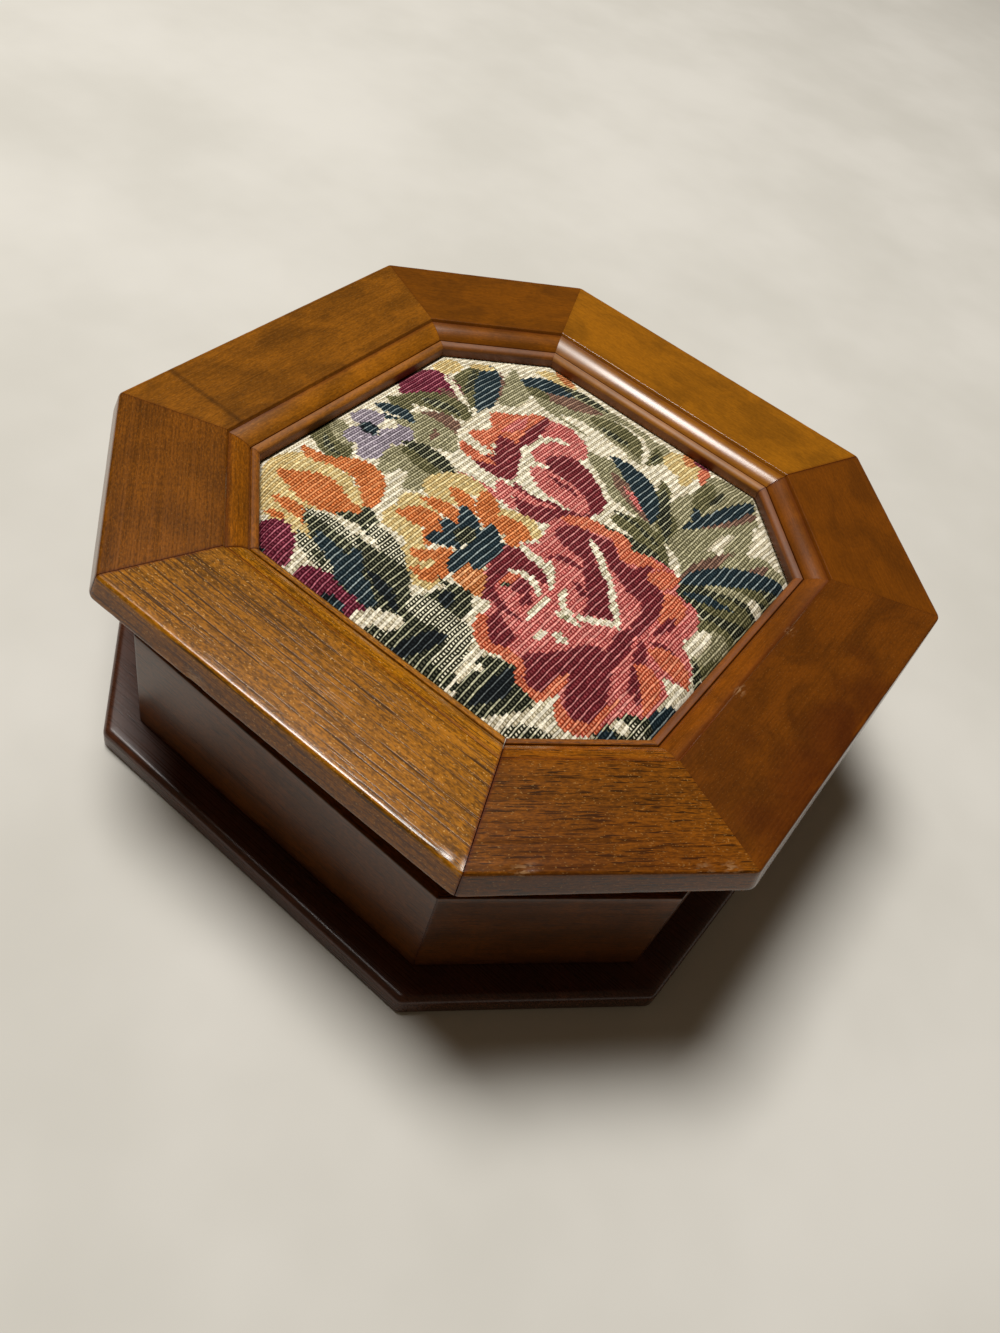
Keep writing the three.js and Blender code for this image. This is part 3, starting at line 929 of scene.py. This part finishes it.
patch("burgundy", (17, -3.5), (22, -4), (27, -8), (31, -13), (32.5, -15), (29, -17), (27, -19.5),
      (25.5, -15), (22, -11), (19, -7.5))
leaves("burgundy", ((12, -10.5), (14, -7), (19, -8), 1.9, 0.3), ((20, -12.6), (22, -13), (25, -14.5), 2))
patch("burgundy", (2.4, -14), (6, -13), (11, -14.6), (16.5, -17), (13, -19), (9.5, -20), (8, -23),
      (9, -27), (13, -29.5), (19, -30.4), (13.5, -32), (20, -35), (20, -39.5), (16, -39.5), (12.8, -37),
      (12.4, -31), (8, -31.5), (5.5, -27), (3.5, -22))
leaf("pink", (16, -31), (20, -33.5), (24, -33), 3)
oval("pink", 13, -24, 10.5, 10)
oval("coral", 9.5, -23, 2.6, 6)
ovals("burgundy", (12.5, -22.6, 4.2, 5), (15.6, -25, 2.4, 4))
oval("olive", 9.6, -25, 1.7, 1.7)
leaves("cream", ((8, -20.5), (13, -17.6), (17, -22), 1.8, 0.2),
       ((4, -13.6), (10, -12), (16, -16), 2.4, 0.4), ((12, -11.6), (15, -14), (18, -19), 2),
       ((15.5, 1.5), (22, -3), (26, -6.5), 2.1, 0.2), ((26, -6), (29, -10), (33.5, -14.5), 1.9, 0.2),
       ((34, -15), (30, -18), (26.5, -20.5), 1.9, 0.2), ((33, -15.6), (36, -15.4), (38, -16), 1.3),
       ((20, -16), (21, -21), (25, -21), 1.9, 0.3), ((18.6, -20), (19, -25), (19, -30), 1.9),
       ((22, -23), (25, -22), (29, -22), 1.8))
ovals("cream", (27, -28, 4, 2.4), (23.6, -30.5, 1.8, 3.4))
oval("sage", 24.5, -23, 1.8, 1.7)
patch("burgundy", (36, -23), (40, -26), (42, -30), (44.5, -36), (43, -41), (39, -41), (36, -38),
      (34.5, -34.5), (33, -41), (31, -43), (27.5, -42), (24, -38), (26, -35), (29, -31), (32, -25.5))
leaf("coral", (33.8, -35), (34, -39), (33, -44), 2.4, 0.3)
leaves("burgundy", ((36.5, -14), (38, -19), (38.5, -26), 4.4, 0.4),
       ((40.5, -14), (43, -19), (46, -28), 3, 0.5), ((41.5, -2), (42.6, -5), (41, -10), 2.2),
       ((42, -13), (44, -11), (48, -11), 1.9), ((46, -24), (48, -26), (49, -29.5), 2))
leaves("coral", ((43, -15), (48, -12), (54, -15), 5.4, 0.6), ((43, -21), (48.5, -19), (51, -29), 5, 0.6),
       ((11.6, -35), (13, -40), (19, -41.5), 3.2, 0.4), ((18, -41), (22, -38.5), (27, -41), 3, 0.4),
       ((25, -41), (30, -46), (34, -42), 2.4, 0.4), ((36, -40.5), (41, -46), (46, -39), 3.2, 0.4),
       ((44.5, -41), (45, -37), (45.4, -31), 1.8, 0.3))

# The yellow flower left of the large rose, with its dark heart

ovals("yellow", (-18, -11.5, 11, 11), (0.5, -7.5, 12, 7), (-18.5, -21, 10.5, 8))
leaf("yellow", (-22, -8), (-15, -4), (-8, -8), 5)
patch("yellow", (-23, -25), (-19, -24), (-12, -27), (-6, -33), (-1, -34), (-1, -38), (-7, -39), (-12, -36),
      (-14, -31), (-21, -31))
leaves("orange", ((-11, -5.4), (-8, -8), (-4, -14), 5.6, 0.5), ((-6, -13), (-1, -9), (5, -10), 6.4, 0.6),
       ((-18, -10.3), (-13, -10.6), (-8, -14), 4.2), ((-20, -18.5), (-13, -15), (-8, -19), 4.2),
       ((-20.5, -26), (-16, -21), (-9, -23), 6), ((-13, -21), (-11, -25), (-10, -29), 4))
oval("orange", 2.6, -13.2, 4, 4)
patch("orange", (-11.5, -33), (-9, -30), (-5, -25.5), (-1.5, -29.5), (-1, -33), (-3, -37), (-8, -36.4),
      (-6, -33.4))
leaf("yellow", (-6, -31), (-5.6, -33), (-6.4, -35), 1.9)
patch("amber", (0, -27), (2, -25.5), (5, -26), (8, -31.5), (4, -32.6), (0, -32))
leaves("teal", ((-11.5, -13.5), (-7, -16), (-2, -22), 5, 0.5),
       ((-3, -13), (-0.5, -18), (-1, -27), 5.6, 0.4), ((1.6, -16), (1, -21), (2, -26.6), 4, 0.4),
       ((-12.5, -21), (-8, -19.5), (-4, -23), 4.6), ((-11.5, -27.6), (-8, -23), (-4, -23), 4.4),
       ((-4, -24), (-2, -27), (-1, -31), 3.6))
oval("olive", -5.6, -20, 4.6, 6)

# The dark and the chequered leaves along the front

patch("olive", (-2.4, -33), (0, -34), (5, -32.4), (8.6, -35), (8.6, -39), (3, -40.4), (-1, -39.6),
      (0.6, -36.4))
oval("ink", 3.2, -37.6, 4, 4)
leaf("cream", (-1, -37), (0, -36), (1.4, -35.4), 1.3)
leaves("olive", ((-26, -30), (-23.6, -33), (-19.6, -35.4), 4, 0.5),
       ((-30, -36), (-26, -34), (-22, -33.6), 2.8), ((-22.4, -38), (-20.6, -38), (-20, -40), 1.8),
       ((-34.6, -41), (-26, -41), (-18, -43), 6, 0.5))
leaf("check", (-22, -33.6), (-15, -34.4), (-8, -38.6), 4.6, 0.5)
patch("olive", (-20, -38.4), (-12, -37.4), (-7, -37.4), (-4, -41), (1, -44), (0, -47.4), (-5, -50),
      (-12, -50.4), (-19, -49), (-20, -44))
leaf("check", (-36, -40), (-28, -37.8), (-20, -40), 2.2, 0.4)
leaves("teal", ((-29, -43.6), (-18, -47), (-7, -49), 5.4, 0.4), ((-20, -41), (-17, -43), (-14, -48), 3.4))
leaf("ink", (-14, -43.6), (-8, -44), (-2, -47), 2.6)
leaves("check", ((-32, -46), (-26, -47.6), (-19, -49), 3.6, 0.5), ((32, -55), (36, -50), (42, -47.4), 4))
leaves("olive", ((-26, -47), (-24, -47.6), (-22, -48), 1.8), ((-30, -42), (-31, -44), (-28, -44.6), 1.7))
patch("check", (-2, -40.4), (6, -39.6), (12, -39.8), (15, -44), (16.4, -50), (16, -57), (-1, -57),
      (-1, -48), (-2, -44))
patch("olive", (-3, -44), (2, -46), (8, -44.4), (10.5, -47), (11, -51), (14.4, -52), (14, -57), (-2, -57),
      (0.6, -51), (0, -48))
leaf("ink", (9, -44.6), (6.6, -49), (3, -57), 4, 0.5)
patch("cream", (-6, -49.6), (-1, -47.2), (1, -50), (-1.6, -52), (-5, -54), (-8, -57), (-9, -53))
leaves("olive", ((-5, -55), (-3.4, -53), (-1, -52.4), 2), ((16.4, -50), (16.6, -52), (16.4, -54), 1.7),
       ((35, -51.6), (38, -49.4), (41, -48), 1.5))
leaf("cream", (-1.8, -56), (-2, -55), (-2.4, -54), 1.7)
patch("olive", (18, -44), (24, -40.8), (26.6, -43.6), (32.6, -44.8), (32.4, -48), (30, -51), (27, -54),
      (24, -57), (17.6, -57), (18.6, -50))
leaf("ink", (24, -42.6), (27, -46), (23.4, -53), 4.4, 0.5)
leaves("cream", ((17, -47.6), (18.4, -46.6), (20.4, -46), 1.9),
       ((17, -55), (18.4, -54.4), (19.4, -54), 1.7))


# Tapestry: the woven panel

EDGE_DIP = 0.4  # how far the cloth is drawn down at the moulding
DIP_REACH = 1.2
VALLEY_SHADE = 0.45  # painted shade: how dark the cloth is painted between two ribs
GAP_SHADE = 0.45  # painted shade: how dark it is painted between two stitches of a rib
RIB_RELIEF = 0.24  # height of the weave's ribs
RIB_STEPS = (1, 0, 0.75, 0)  # mesh columns in a rib: tall under the pale row, lower between two
KNOT_DIP = 0.15  # how far every second row of the mesh lies under the others, as a share of a rib
UNEVEN = 0.02


def pad_height(inward):
    """Height of the cloth over the pad's underside, by distance inward: it dips under the bead."""
    share = min(max((inward - SIGHT) / (BODY_SPAN / 2 - SIGHT), 0), 1)
    dip = EDGE_DIP * math.exp(-max(inward - SIGHT, 0) / DIP_REACH)
    return PAD_EDGE - dip + PAD_CROWN * (1 - (1 - share) ** PAD_FLATNESS) ** PAD_SHOULDER


def inward_at(x, y):
    """Distance inward from the walls' face, in the plan of a point."""
    return min(
        side_shape(index)[0] - (y * math.cos(index * EIGHTH) - x * math.sin(index * EIGHTH))
        for index in range(8)
    )


def from_middle(graph, place, period):
    """How far a place is from the middle of its rib or stitch, from 0 to 0.5."""
    phase = graph.math("DIVIDE", place, period * MM)
    phase = graph.math("FRACT", phase)
    phase = graph.math("SUBTRACT", phase, 0.5)
    return graph.math("ABSOLUTE", phase)


def tapestry_material():
    """Pale rows over the coloured ground, which shows dots of the same yarn between them."""
    graph = Graph("tapestry")
    x, y, _ = graph.axes()
    wobble = graph.noise((300, 160, 300), detail=3.0, roughness=0.6)
    rib = from_middle(graph, graph.math("MULTIPLY_ADD", wobble, 0.0009, x), RIB)
    stitch = from_middle(graph, y, STITCH)
    loose = graph.ramp(graph.noise((200, 120, 200), (5, 0, 0), 2.0, 0.6), 0.35, 0.65, 0.36, 0.62)
    margin = graph.math("MULTIPLY_ADD", graph.attribute("thread", "Alpha"), loose, rib)
    row = graph.math("MULTIPLY", graph.ramp(margin, 0.45, 0.55), graph.ramp(stitch, 0.10, 0.46, 1.0, 0.7))
    middle = graph.ramp(rib, 0.08, 0.20, 1.0, 0.0)
    dot = graph.math("MULTIPLY", graph.ramp(stitch, 0.12, 0.34, 1.0, 0.0), middle)
    dot = graph.math("MULTIPLY", dot, graph.attribute("cloth", "Alpha"))
    light = graph.math("MAXIMUM", row, dot)
    # painted shade in the valleys between ribs and the gaps between stitches
    valley = graph.math("ABSOLUTE", graph.math("SUBTRACT", rib, 0.27))
    valley = graph.ramp(valley, 0.02, 0.14, VALLEY_SHADE, 1.0)
    ground = graph.shade(graph.attribute("cloth", "Color"), valley)
    ground = graph.shade(ground, graph.ramp(stitch, 0.30, 0.48, 1.0, GAP_SHADE))
    colour = graph.mix(light, ground, graph.attribute("thread", "Color"))
    fibre = graph.noise((2500, 900, 2500), detail=2.0, roughness=0.6)
    graph.feed(graph.shader["Base Color"], graph.shade(colour, graph.ramp(fibre, 0.3, 0.7, 0.7, 1.3)))
    graph.bump(graph.math("MULTIPLY_ADD", fibre, 0.4, light), 0.5, 0.0001)
    graph.shader["Roughness"].default_value = 0.85
    graph.shader["Specular IOR Level"].default_value = 0.1
    return graph.material


def weave_surface(base, rng):
    """The top of the cloth, as vertices in millimetres and a table of the ones inside the panel."""
    columns = COLUMNS * len(RIB_STEPS) // 2
    xs = (np.arange(columns + 1) - columns / 2) * RIB / len(RIB_STEPS)
    ys = (np.arange(ROWS + 1) - ROWS / 2) * CELL
    uneven = rng.uniform(-UNEVEN, UNEVEN, (len(xs), len(ys)))
    tops = {}
    vertices = []
    for i, x in enumerate(xs):
        for j, y in enumerate(ys):
            inward = inward_at(x, y)
            if inward < HEM - 0.01:
                continue
            tops[(i, j)] = len(vertices)
            relief = RIB_STEPS[i % len(RIB_STEPS)] - (KNOT_DIP if j % 2 else 0)
            fade = min(max((inward - SIGHT + 0.5) / 1.5, 0), 1)
            lift = (RIB_RELIEF * relief + uneven[i, j]) * fade
            vertices.append(Vector((x, y, base + pad_height(inward) - RIB_RELIEF + lift)))
    return vertices, tops, columns


def weave_faces(tops, columns, rng):
    """The cloth's faces, and for each the colours of its ground and its pale row."""
    yarns = [(linear(*ground), linear(*pale), dots, width) for ground, pale, dots, width in YARNS.values()]
    by_column = rng.uniform(0.94, 1.06, COLUMNS)
    by_cell = rng.uniform(0.82, 1.18, (COLUMNS, ROWS))
    faces = []
    grounds = []
    threads = []
    for i in range(columns):
        column = 2 * i // len(RIB_STEPS)
        for j in range(ROWS):
            corners = [(i, j), (i + 1, j), (i + 1, j + 1), (i, j + 1)]
            if all(corner in tops for corner in corners):
                faces.append(tuple(tops[corner] for corner in corners))
                ground, thread, dots, width = yarns[PATTERN[column, j]]
                tone = by_column[column] * by_cell[column, j]
                grounds.append((*(channel * tone for channel in ground[:3]), dots))
                threads.append((*(channel * tone for channel in thread[:3]), width))
    return faces, grounds, threads


def close_below(vertices, faces, base):
    """Adds a hem round the cloth and a flat underside."""
    sides = {}
    for face in faces:
        for a, b in zip(face, face[1:] + face[:1]):
            if (b, a) in sides:
                del sides[(b, a)]
            else:
                sides[(a, b)] = True
    follow = {a: b for a, b in sides}
    start = next(iter(follow))
    loop = [start]
    while follow[loop[-1]] != start:
        loop.append(follow[loop[-1]])
    below = {v: len(vertices) + k for k, v in enumerate(loop)}
    vertices.extend(Vector((*vertices[v].xy, base)) for v in loop)
    for a, b in zip(loop, loop[1:] + loop[:1]):
        faces.append((b, a, below[a], below[b]))
    faces.append(tuple(below[v] for v in reversed(loop)))


def build_tapestry():
    """The woven panel as one closed mesh: ribs and stitches on top, flat underneath."""
    base = BOARD_TOP + TOUCH - LID_TOP
    rng = np.random.default_rng(7)
    vertices, tops, columns = weave_surface(base, rng)
    faces, grounds, threads = weave_faces(tops, columns, rng)
    close_below(vertices, faces, base)
    data = bpy.data.meshes.new("tapestry")
    data.from_pydata([tuple(v * MM) for v in vertices], [], faces)
    data.polygons.foreach_set("use_smooth", [True] * len(data.polygons))
    sizes = [len(face) for face in faces]
    plain = YARNS["cream"][:2]
    for label, values, hidden in (("cloth", grounds, plain[0]), ("thread", threads, plain[1])):
        values += [linear(*hidden)] * (len(faces) - len(values))
        layer = data.color_attributes.new(label, "FLOAT_COLOR", "CORNER")
        layer.data.foreach_set("color", np.repeat(np.array(values, np.float32), sizes, axis=0).ravel())
    data.materials.append(tapestry_material())
    panel = add_object("tapestry", data)
    panel.location = (0, 0, LID_TOP * MM)
    panel.rotation_euler = (0, 0, LID_TURN)
    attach(panel, "root")
    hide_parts("tapestry_pad")


build_tapestry()


# Floor, light and camera

FLOOR_REACH = 3.0
LIGHT_DIRECTION = (-0.30, 0.08, 0.95)
LIGHT_DISTANCE = 1.6
LIGHT_SIZE = 0.55
LIGHT_POWER = 27.5
LIGHT_COLOUR = (1.0, 0.985, 0.95)
ROOM_COLOUR = (1.0, 0.76, 0.50, 1)
ROOM_STRENGTH = 0.08
CAMERA_TARGET = Vector((24.4372, -44.4522, LID_TOP)) * MM
CAMERA_DISTANCE = 0.218903
CAMERA_AZIMUTH = math.radians(24.261)
CAMERA_ELEVATION = math.radians(49.339)
CAMERA_ROLL = math.radians(18.966)
CAMERA_LENS = 29.03  # on a frame 36 mm high


def build_floor():
    """A plain pale surface, a little uneven in tone."""
    reach = FLOOR_REACH
    corners = [(-reach, -reach, 0), (reach, -reach, 0), (reach, reach, 0), (-reach, reach, 0)]
    data = bpy.data.meshes.new("floor")
    data.from_pydata(corners, [], [(0, 1, 2, 3)])
    graph = Graph("floor")
    tone = graph.ramp(graph.noise((9, 9, 9), detail=4.0, roughness=0.55), 0.3, 0.7)
    graph.feed(graph.shader["Base Color"], graph.mix(tone, linear(206, 203, 195), linear(218, 215, 208)))
    graph.shader["Roughness"].default_value = 0.9
    data.materials.append(graph.material)
    add_object("floor", data)


def build_light():
    """One soft square light overhead, turned towards the box's middle, in a dim warm room."""
    data = bpy.data.lights.new("overhead", "AREA")
    data.shape = "SQUARE"
    data.size = LIGHT_SIZE
    data.energy = LIGHT_POWER
    data.color = LIGHT_COLOUR
    light = add_object("overhead", data)
    towards = Vector(LIGHT_DIRECTION).normalized()
    light.location = Vector((0, 0, LID_TOP * MM / 2)) + towards * LIGHT_DISTANCE
    light.rotation_mode = "QUATERNION"
    light.rotation_quaternion = towards.to_track_quat("Z", "Y")
    world = bpy.data.worlds.new("surroundings")
    bpy.context.scene.world = world
    world.use_nodes = True
    background = world.node_tree.nodes["Background"].inputs
    background["Color"].default_value = ROOM_COLOUR
    background["Strength"].default_value = ROOM_STRENGTH


def build_camera():
    """The photograph's view: from the front, a little to the right, and rolled."""
    data = bpy.data.cameras.new("camera")
    data.sensor_fit = "VERTICAL"
    data.sensor_height = 36
    data.lens = CAMERA_LENS
    data.clip_start = 0.01
    camera = add_object("camera", data)
    bpy.context.scene.camera = camera
    flat = math.cos(CAMERA_ELEVATION)
    sine, cosine = math.sin(CAMERA_AZIMUTH), math.cos(CAMERA_AZIMUTH)
    level = Vector((cosine, sine, 0))
    back = Vector((sine * flat, -cosine * flat, math.sin(CAMERA_ELEVATION)))
    upright = back.cross(level)
    right = level * math.cos(CAMERA_ROLL) + upright * math.sin(CAMERA_ROLL)
    turn = Matrix((right, back.cross(right), back)).transposed()
    camera.matrix_world = Matrix.Translation(CAMERA_TARGET + back * CAMERA_DISTANCE) @ turn.to_4x4()


build_floor()
build_light()
build_camera()

bpy.context.scene.view_settings.view_transform = "Standard"
